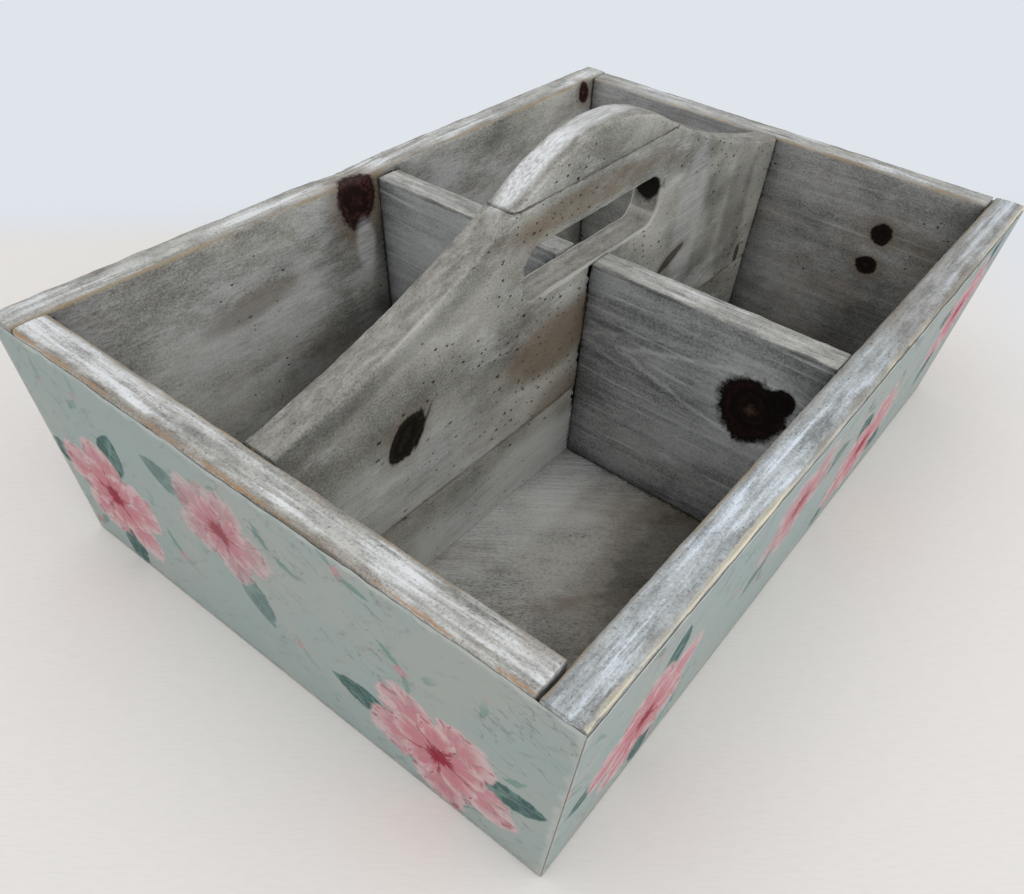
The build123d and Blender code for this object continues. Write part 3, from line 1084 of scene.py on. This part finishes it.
def washed(c, name, along="x", tint=(1, 1, 1), knots=(), shift=0.0, raw_wood=None, **amounts):
    """Grey-washed pine with the grain along x, along y or brushed across, and its own knots."""
    made, n, shader = new_material(name)
    place = n.add("TexCoord").outputs["Object"]
    turn = {"x": 0.0, "y": pi / 2, "across": BRUSH_TURN}[along]
    turned = n.add("Mapping", {"Vector": place, "Location": (shift, shift, shift), "Rotation": (0, 0, turn)})
    normal = n.parts(n.add("NewGeometry").outputs["Normal"])
    butt = n.ease(n.math("ABSOLUTE", normal[1 if along == "y" else 0]), 0.75, 0.95)
    up = n.math("MAXIMUM", n.ease(normal[2], 0.35, 0.9), butt)
    plain = {"cloud": 1.0, "fibre": 0.4, "streak": 0.35, "white": 0.35, "lines": 0.2, "holes": 0.12}
    plain |= {"brown": 0.35, "rim_tint": (1, 1, 1, 1), "rim_white": 0.75, "even": 0.0, "raw": 0.0}
    plain |= {"edge": c.ochre, "line": c.knot_brown, "grime": 0.6, "reach": 6 * MM, "crack": 0.6}
    wash = n.use(
        "grey wash",
        vector=turned.outputs[0],
        tint=(*tint, 1),
        raw_wood=raw_wood or c.raw_wood,
        outer=n.attribute("outer_edge"),
        inner=n.attribute("inner_edge"),
        gap=n.attribute("gap"),
        seam=n.attribute("seam"),
        **(plain | {"up": up} | amounts),
    )
    colour = wash["Colour"]
    grain = (0.25, 1, 1) if along == "x" else (1, 0.25, 1)
    brushed = n.ease(n.noise(turned.outputs[0], (45, 1100, 1100), 4, 0.65), 0.36, 0.62)
    brushed = n.plus(0.45, n.times(brushed, 0.55))
    for knot in knots:
        form = {"place": knot.place, "radii": knot.radii, "tilt": knot.tilt, "eye": knot.eye}
        mark = n.use("knot", vector=place, grain=grain, **form)
        colour = n.mix(n.times(mark["Figure"], knot.figure), colour, c.wash_white)
        # The halo in the knot's tinge: a stain round a knot, and in the near-black tinge a patch of painted
        # shade.
        colour = n.mix(n.times(mark["Halo"], knot.halo), colour, getattr(c, knot.tinge))
        # The haze: white paint rubbed thin, and on the handle's crest a painted highlight.
        haze = n.times(n.times(mark["Halo"], knot.haze), brushed)
        colour = n.mix(haze, colour, c.wash_white)
        tone = n.plus(0.2, n.times(mark["Tone"], 0.8))
        disc = n.mix(n.times(tone, knot.brown), c.soot, getattr(c, knot.heart))
        disc = n.mix(n.times(mark["Heart"], knot.core), disc, c.knot_core)
        colour = n.mix(n.times(mark["Disc"], knot.dark), colour, disc)
    n.feed(shader.inputs["Base Color"], colour)
    n.feed(shader.inputs["Roughness"], wash["Rough"])
    bump = n.add("Bump", {"Strength": 0.45, "Distance": 0.3 * MM, "Height": wash["Height"]})
    n.feed(shader.inputs["Normal"], bump.outputs[0])
    return made


def pin_steel(c):
    """Plain steel of the panel pins, a little dull."""
    made, n, shader = new_material("pin_steel")
    place = n.add("TexCoord").outputs["Object"]
    tarnish = n.ease(n.noise(place, 900, 3), 0.4, 0.7)
    n.feed(shader.inputs["Base Color"], n.mix(n.times(tarnish, 0.6), c.steel, c.umber))
    n.feed(shader.inputs["Roughness"], n.plus(0.35, n.times(tarnish, 0.3)))
    shader.inputs["Metallic"].default_value = 1.0
    return made


class Spray:
    """A blossom on a sheet: its place and size in millimetres, its turn, its leaves and how strong it is."""

    def __init__(self, u, v, size, turn, leaves, strength=0.9):
        self.place = Vector((u, v, 0)) * MM
        self.size = size * MM
        self.turn = turn
        self.leaves = leaves
        self.strength = strength

    def paint(self, n, c, place, colour):
        """Paint the leaves and the blossom's two whorls over a colour."""
        for turn, reach in self.leaves:
            angle = self.turn + turn
            base = self.place + Vector((cos(angle), sin(angle), 0)) * self.size / 2
            length = reach * MM
            blade = n.use("leaf", vector=place, base=base, turn=angle, length=length, width=length * 0.24)
            green = n.mix(blade["Vein"], c.leaf, c.leaf_pale)
            colour = n.mix(n.times(blade["Blade"], self.strength), colour, green)
        for share, turn in ((1.0, 0.0), (0.64, 0.62)):
            petals = n.use(
                "open blossom", vector=place, middle=self.place, size=self.size * share, turn=self.turn + turn
            )
            shade = n.mix(petals["Depth"], c.petal_pale, c.petal_mid)
            shade = n.mix(n.times(petals["Fold"], 0.9), shade, c.petal_deep)
            shade = n.mix(petals["Heart"], shade, c.petal_deep)
            colour = n.mix(n.times(petals["Petals"], self.strength), colour, shade)
        return colour


def printed_paper(c, name, sprays):
    """Pasted paper with a generic botanical print: open blossoms, leaves and small buds."""
    made, n, shader = new_material(name)
    sheet = n.add("UVMap", uv_map="sheet").outputs[0]
    place = n.bent(sheet, 300, 2.2 * MM)
    fade = n.noise(sheet, 17, 4, 0.6)
    colour = n.mix(n.ease(fade, 0.42, 0.62), c.ground, c.cream)
    bud = n.use("strewn buds", vector=place)
    weak = n.ease(n.noise(sheet, 26, 2), 0.42, 0.6)
    colour = n.mix(n.times(bud["Leaf"], n.times(weak, 0.75)), colour, c.leaf_pale)
    colour = n.mix(n.times(bud["Bud"], n.times(weak, 0.7)), colour, c.petal_mid)
    for spray in sprays:
        colour = spray.paint(n, c, place, colour)
    rubbed = n.noise(n.spun(sheet, 0.5), (75, 460, 75), 4, 0.65)
    colour = n.mix(n.times(n.ease(rubbed, 0.5, 0.72), 0.4), colour, c.ground)
    mottle = n.noise(n.spun(place, -0.7), (60, 240, 60), 5, 0.7)
    colour = n.mix(n.times(n.ease(mottle, 0.54, 0.7), 0.3), colour, c.wash_dark)
    crease = n.math("ABSOLUTE", n.math("SUBTRACT", n.noise(n.spun(place, 0.4), (30, 75, 30), 3, 0.6), 0.5))
    colour = n.mix(n.times(n.ease(crease, 0.014, 0.0), n.times(weak, 0.45)), colour, c.wash_dark)
    border = n.plus(n.attribute("border"), n.swing(n.noise(sheet, 160, 4), 6 * MM))
    colour = n.mix(n.times(n.ease(border, 2.5 * MM, 0.0), 0.6), colour, c.wash_mid)
    n.feed(shader.inputs["Base Color"], colour)
    shader.inputs["Roughness"].default_value = 0.6
    relief = n.plus(n.noise(sheet, 420, 3), n.times(rubbed, 1.2))
    bump = n.add("Bump", {"Strength": 0.3, "Distance": 0.3 * MM, "Height": relief})
    n.feed(shader.inputs["Normal"], bump.outputs[0])
    return made


def table_cloth(c):
    """A pale cloth that ends along two straight lines, with the backdrop's colour beyond them."""
    made, n, shader = new_material("table_cloth")
    place = n.add("TexCoord").outputs["Object"]
    behind = n.ease(n.dot(place, CLOTH_BACK), 0.2, 0.27)
    beside = n.ease(n.dot(place, CLOTH_SIDE), 0.22, 0.4)
    thread = n.noise(n.spun(place, 0.9), (150, 1100, 150), 3)
    cloth = n.mix(n.times(n.ease(thread, 0.4, 0.7), 0.1), c.table, c.wash_mid)
    beyond = n.math("MAXIMUM", behind, beside)
    n.feed(shader.inputs["Base Color"], n.mix(beyond, cloth, c.backdrop))
    shader.inputs["Roughness"].default_value = 0.9
    shader.inputs["Specular IOR Level"].default_value = 0.1
    wall = n.add("Emission", {"Color": c.backdrop, "Strength": 1.0})
    seen = n.times(beyond, n.add("LightPath").outputs["Is Camera Ray"])
    shown = n.add("MixShader", {0: seen, 1: shader.outputs[0], 2: wall.outputs[0]})
    n.feed(made.node_tree.nodes["Material Output"].inputs["Surface"], shown.outputs[0])
    return made


# Operators


def hung(scene, name, data, place, turn):
    """Put a camera or a lamp in the scene."""
    holder = bpy.data.objects.new(name, data)
    holder.location = place
    holder.rotation_euler = turn
    scene.collection.objects.link(holder)
    return holder


class CADDY_OT_finishes(Operator):
    """Make the wood, paint and print effects that the materials share"""

    bl_idname = "caddy.finishes"
    bl_label = "Shared finishes"

    def execute(self, context):
        grain_group()
        dry_brush_group()
        pinhole_group()
        knot_group()
        wash_group(Palette(context.scene.caddy_colours))
        blossom_group()
        leaf_group()
        scatter_group()
        return {"FINISHED"}


class CADDY_OT_sides(Operator):
    """Build the two long sides"""

    bl_idname = "caddy.sides"
    bl_label = "Long sides"

    def execute(self, context):
        s, c = settings(context)
        gaps = (s.floor_gap, s.end_gap, s.divider_gap)
        rounds = (s.rim_inner, s.rim_outer)
        length = 2 * s.half_length
        stains = (stain_and_shade((96, -115, 104), (56, 9, 5), 0.25),)
        # The bluish rim tint, with the rim's white, paints a bluish reflection along the front rim.
        looks = {"raw": 1.6 * MM, "raw_wood": c.raw_pale, "rim_white": 0.7, "rim_tint": (0.93, 1.0, 1.08, 1)}
        finish = washed(c, "front_side_wash", knots=stains, shift=0.7, **looks)
        build_board(s, "front_side", length, s.rim, s.side_seat(-1), gaps, rounds, finish)
        knots = (
            Knot((-20, 106, 97), (12, 12, 16), sink=0.9, brown=1.0, halo=0.55),
            Knot((157, 109, 98), (5, 8, 6), sink=0.3, brown=1.0, halo=0.5),
            pale_patch((-82, 105, 59), (28, 8, 10), 0.4),
            Knot((-86, 106, 70), (18, 6, 4), tilt=(0, -6, 0), sink=0.0, dark=0.12, halo=0.45),
            pale_patch((-18, 107, 73), (4, 8, 8), 0.55),
            # Painted shadow: darker patches low on the back side's inner face.
            stain_and_shade((-30, 101, 22), (34, 8, 18), 0.5, "soot"),
            stain_and_shade((-4, 104, 46), (8, 8, 16), 0.3, "soot"),
        )
        dips = (Dip(-18, 16, 1.6, 25, s.rim),)
        # The longer reach paints more shade into the back side's corners, and the lighter tint paints light
        # on the whole board.
        looks = {"raw": 1.2 * MM, "white": 0.7, "streak": 0.2, "reach": 12 * MM}
        finish = washed(c, "back_side_wash", tint=(1.06, 1.05, 1.02), knots=knots, shift=0.2, **looks)
        build_board(s, "back_side", length, s.rim, s.side_seat(1), gaps, rounds, finish, knots, dips)
        return {"FINISHED"}


class CADDY_OT_ends(Operator):
    """Build the two end boards"""

    bl_idname = "caddy.ends"
    bl_label = "Ends"

    def execute(self, context):
        s, c = settings(context)
        gaps = (s.floor_gap, s.side_gap, s.handle_gap)
        rounds = (s.rim_inner, s.rim_outer)
        length = 2 * s.inner_y(s.rim)
        finish = washed(c, "left_end_wash", "y", shift=0.4, raw=1.0 * MM, rim_white=0.95)
        build_board(s, "left_end", length, s.rim, s.end_seat(-1, s.open_joint), gaps, rounds, finish)
        knots = (
            Knot((166, -70, 75), (8, 6, 6), sink=0.4, brown=0.25, halo=0.45),
            Knot((163, -68, 58), (8, 6, 5), sink=0.4, brown=0.25, halo=0.45),
            pale_patch((166, 55, 96), (8, 36, 9), 0.25),
            pale_patch((158, -16, 32), (8, 20, 12), 0.1),
            stain_and_shade((159, -80, 20), (8, 22, 13), 0.35, "soot"),
        )
        looks = {"raw": 1.2 * MM, "lines": 0.15, "streak": 0.5}
        # The darker tint is painted shade on the right end, whose inner face renders darker than the left
        # end's.
        finish = washed(c, "right_end_wash", "y", (0.75, 0.75, 0.765), knots, shift=0.9, **looks)
        build_board(s, "right_end", length, s.rim, s.end_seat(1, s.joint_gap), gaps, rounds, finish, knots)
        return {"FINISHED"}


class CADDY_OT_dividers(Operator):
    """Build the two cross dividers"""

    bl_idname = "caddy.dividers"
    bl_label = "Dividers"

    def execute(self, context):
        s, c = settings(context)
        gaps = (s.floor_gap, s.handle_gap, s.side_gap)
        rounds = (s.divider_round, s.divider_round)
        knots = (
            Knot((-3, -83, 68.5), (6, 15, 15.5), sink=0.5, brown=0.3, halo=0.0, figure=0.4, haze=0.3),
            Knot((-3, -93.5, 77.5), (5, 6, 6.5), sink=0.3, brown=0.15, core=0.0, halo=0.0),
        )
        looks = {"lines": 0.5, "streak": 0.9, "holes": 0.0, "brown": 0.05, "white": 0.3, "rim_white": 0.35}
        looks |= {"even": 0.7, "edge": c.soot}
        # The darker, bluer tints are painted shade on the dividers, deeper on the front one.
        for node, at, face, tint, marks in (
            ("front_divider", s.front_divider, -1, (0.78, 0.815, 0.865), knots),
            ("back_divider", s.back_divider, 1, (0.87, 0.9, 0.96), ()),
        ):
            finish = washed(c, node + "_wash", "y", tint, marks, shift=face * 0.3, **looks)
            length = s.divider_length(face)
            seat = s.divider_seat(at, face)
            build_board(s, node, length, s.divider_top, seat, gaps, rounds, finish, marks, open_sides=True)
        return {"FINISHED"}


class CADDY_OT_handle(Operator):
    """Build the three strips of the arched handle board"""

    bl_idname = "caddy.handle"
    bl_label = "Handle board"

    def execute(self, context):
        s, c = settings(context)
        knots = (
            stain_and_shade((-22, -4, 74), (22, 6, 10), 0.7),
            stain_and_shade((-16, -4, 36), (14, 6, 12), 0.5),
            pale_patch((-115, -4, 55), (34, 6, 16), 0.32),
            stain_and_shade((-8, -4, 132), (36, 6, 4), 0.5),
            stain_and_shade((-115, -5.5, 111), (36, 1.7, 3.2), 0.25, "soot", tilt=(0, -17, 0)),
            # Painted shade: darker patches near the handle's right end.
            stain_and_shade((132, -4, 72), (9, 6, 30), 0.36, "soot"),
            stain_and_shade((152, -4, 92), (9, 6, 12), 0.3, "soot"),
            pale_patch((80, -4, 90), (9, 6, 24), 0.38),
            pale_patch((-70, -4, 32), (20, 6, 8), 0.5),
            # Painted highlight: white on the crest of the cap.
            pale_patch((-38, 4, 150), (20, 3.4, 9), 0.85),
            pale_patch((-4, 4, 158), (20, 3.4, 5), 0.6),
            Knot(
                (-110, -4, 77),
                (11, 5, 8),
                (0, -45, 0),
                eye=0.2,
                sink=0.8,
                brown=0.45,
                core=0.3,
                heart="knot_olive",
            ),
            Knot((-102, -4, 77), (10, 5, 1.0), tilt=(0, -62, 0), sink=0.0, dark=0.6, halo=0.0),
            Knot((68, -4, 74), (12, 4, 3), tilt=(0, -20, 0), sink=0.2, dark=0.75, brown=0.3),
            Knot((148, -4, 45), (2.5, 3, 6), sink=0.2, dark=0.8),
            # Not a knot: a near-black patch on the slot's right end, a painted shadow.
            Knot((48, 3, 119), (10, 6.6, 11), sink=0.0, dark=0.97, brown=0.1, core=0.0, halo=0.0),
        )
        tint = (0.98, 0.97, 0.92)
        looks = {"white": 0.5, "lines": 0.0, "streak": 0.12, "holes": 0.7, "brown": 0.4, "rim_white": 0.35}
        looks |= {"raw": 0.4 * MM, "crack": 1.0, "grime": 0.45, "cloud": 1.5, "even": 0.7, "fibre": 0.25}
        looks |= {"edge": c.wash_mid, "rim_tint": (0.72, 0.71, 0.68, 1)}
        finish = washed(c, "handle_wash", "x", tint, knots, shift=0.15, raw_wood=c.ochre, **looks)
        foot = c.wash_white
        looks |= {"raw": 0.0, "edge": c.umber, "grime": 0.25}
        patch = (pale_patch((-34, -4, 12), (56, 6, 12), 0.55),)
        strip_finish = washed(c, "handle_strip_wash", "x", tint, patch, shift=0.55, line=foot, **looks)
        gaps = (s.tight_end_gap, s.divider_gap)
        length = 2 * s.inner_x(s.lower_seam)
        rounds = (s.seam, s.seam)
        build_board(
            s,
            "handle_lower_strip",
            length,
            s.lower_seam,
            s.strip_seat,
            gaps,
            rounds,
            strip_finish,
            open_sides=True,
            line=s.foot_line,
        )
        build_handle_piece(s, "handle_plank", s.lower_seam, s.upper_seam, finish, knots)
        build_handle_piece(s, "handle_cap", s.upper_seam, s.crest + s.step, finish)
        return {"FINISHED"}


class CADDY_OT_floor(Operator):
    """Build the floor panel and finish the panel pins"""

    bl_idname = "caddy.floor"
    bl_label = "Floor and pins"

    def execute(self, context):
        s, c = settings(context)
        looks = {"up": 0.0, "streak": 0.5, "fibre": 0.9, "white": 0.35, "lines": 0.0, "holes": 0.0}
        # A long reach paints shade further out from the walls.
        looks |= {"brown": 0.45, "grime": 0.4, "cloud": 1.6, "reach": 18 * MM}
        patches = (
            # Painted shade with some brown stain: darker patches near the front side.
            Knot((-30, -84, 3), (56, 24, 8), sink=0.0, dark=0.3, brown=0.2, core=0.0, halo=0.3),
            stain_and_shade((-22, -70, 3), (28, 13, 8), 0.32, "soot"),
            stain_and_shade((-84, -68, 3), (26, 12, 8), 0.2, "soot"),
            pale_patch((-48, -14, 3), (44, 9, 8), 0.3),
            pale_patch((-24, -24, 3), (16, 12, 8), 0.2),
        )
        tint = (0.86, 0.85, 0.83)
        build_floor(s, washed(c, "floor_wash", "across", tint, patches, shift=0.9, **looks))
        steel = pin_steel(c)
        for name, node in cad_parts.items():
            if name.endswith("_pins"):
                node.material_slots[0].material = steel
        return {"FINISHED"}


class CADDY_OT_papers(Operator):
    """Paste the printed sheets on the outer faces"""

    bl_idname = "caddy.papers"
    bl_label = "Printed papers"

    def execute(self, context):
        s, c = settings(context)
        three = ((0.9, 30), (2.6, 26), (4.4, 28))
        two = ((1.6, 26), (3.9, 30))
        left = (
            Spray(-84, -66, 30, 0.3, three),
            Spray(-14, -34, 24, 1.2, two, 0.6),
            Spray(74, -74, 31, 2.2, three),
        )
        right = (
            Spray(-82, -62, 31, 0.8, three),
            Spray(6, -36, 27, 2.0, two, 0.7),
            Spray(84, -70, 30, 1.1, three),
        )
        front = (
            Spray(-128, -62, 32, 0.6, three),
            Spray(-40, -34, 27, 2.4, two, 0.6),
            Spray(48, -66, 33, 1.4, three),
            Spray(134, -38, 30, 0.2, three),
        )
        back = (
            Spray(-132, -38, 31, 1.7, three),
            Spray(-44, -68, 33, 0.4, three),
            Spray(42, -36, 26, 2.9, two, 0.6),
            Spray(126, -64, 32, 2.1, three),
        )
        for sheet in (
            Sheet("left_paper", -1, False, 1.5, 1.0, left),
            Sheet("right_paper", 1, False, 1.5, 1.0, right),
            Sheet("front_paper", -1, True, 2.0, 2.2, front),
            Sheet("back_paper", 1, True, 1.8, 1.2, back),
        ):
            build_sheet(s, sheet, printed_paper(c, sheet.node + "_print", sheet.sprays))
        return {"FINISHED"}


class CADDY_OT_stage(Operator):
    """Lay the table cloth, light it softly and set the camera"""

    bl_idname = "caddy.stage"
    bl_label = "Stage"

    def execute(self, context):
        scene = context.scene
        scene.view_settings.view_transform = "Standard"
        self.lay_cloth(scene)
        self.light(scene)
        view = scene.caddy_view
        camera = bpy.data.cameras.new("camera")
        camera.lens = view.lens
        camera.sensor_fit = "HORIZONTAL"
        camera.clip_start = 10 * MM
        scene.camera = hung(scene, "camera", camera, view.place, view.turn)
        return {"FINISHED"}

    def lay_cloth(self, scene):
        """A wide level cloth just under the caddy."""
        bm = bmesh.new()
        bmesh.ops.create_grid(bm, x_segments=4, y_segments=4, size=CLOTH_HALF)
        bmesh.ops.translate(bm, vec=(0, 0, -CLOTH_DROP), verts=bm.verts)
        table = placed(bm, "table", table_cloth(Palette(scene.caddy_colours)))

    def light(self, scene):
        """A soft sky, the backdrop's colour where it is seen, and two wide lamps."""
        world = bpy.data.worlds.new("studio")
        world.use_nodes = True
        scene.world = world
        n = Nodes(world.node_tree)
        path = n.add("LightPath").outputs
        seen = n.math("MAXIMUM", path["Is Camera Ray"], path["Is Glossy Ray"])
        seen = n.math("MAXIMUM", seen, path["Is Transmission Ray"])
        background = world.node_tree.nodes["Background"]
        backdrop = tuple(scene.caddy_colours.backdrop)
        n.feed(background.inputs["Color"], n.mix(seen, SKY, backdrop))
        for name, place, size, power in LAMPS:
            lamp = bpy.data.lights.new(name, "AREA")
            lamp.size = size
            lamp.energy = power
            hung(scene, name, lamp, place, Vector(place).to_track_quat("Z", "Y").to_euler())


class CADDY_PT_panel(Panel):
    """Lists the caddy's operators and settings"""

    bl_idname = "CADDY_PT_panel"
    bl_label = "Storage caddy"
    bl_space_type = "VIEW_3D"
    bl_region_type = "UI"
    bl_category = "Caddy"

    def draw(self, context):
        for operator in OPERATORS:
            self.layout.operator(operator.bl_idname)
        for group in (context.scene.caddy_sizes, context.scene.caddy_colours, context.scene.caddy_view):
            for key in group.__annotations__:
                self.layout.prop(group, key)


OPERATORS = (
    CADDY_OT_finishes,
    CADDY_OT_sides,
    CADDY_OT_ends,
    CADDY_OT_dividers,
    CADDY_OT_handle,
    CADDY_OT_floor,
    CADDY_OT_papers,
    CADDY_OT_stage,
)
CLASSES = (CaddySizes, CaddyColours, CaddyView, *OPERATORS, CADDY_PT_panel)


def register():
    """Register the classes and the scene's settings."""
    for cls in CLASSES:
        bpy.utils.register_class(cls)
    bpy.types.Scene.caddy_sizes = PointerProperty(type=CaddySizes)
    bpy.types.Scene.caddy_colours = PointerProperty(type=CaddyColours)
    bpy.types.Scene.caddy_view = PointerProperty(type=CaddyView)


def unregister():
    """Take the settings and the classes away again."""
    del bpy.types.Scene.caddy_view
    del bpy.types.Scene.caddy_colours
    del bpy.types.Scene.caddy_sizes
    for cls in reversed(CLASSES):
        bpy.utils.unregister_class(cls)


def main():
    """Build the caddy and its stage."""
    register()
    bpy.ops.caddy.finishes()
    bpy.ops.caddy.sides()
    bpy.ops.caddy.ends()
    bpy.ops.caddy.dividers()
    bpy.ops.caddy.handle()
    bpy.ops.caddy.floor()
    bpy.ops.caddy.papers()
    bpy.ops.caddy.stage()


if __name__ == "__main__":
    main()
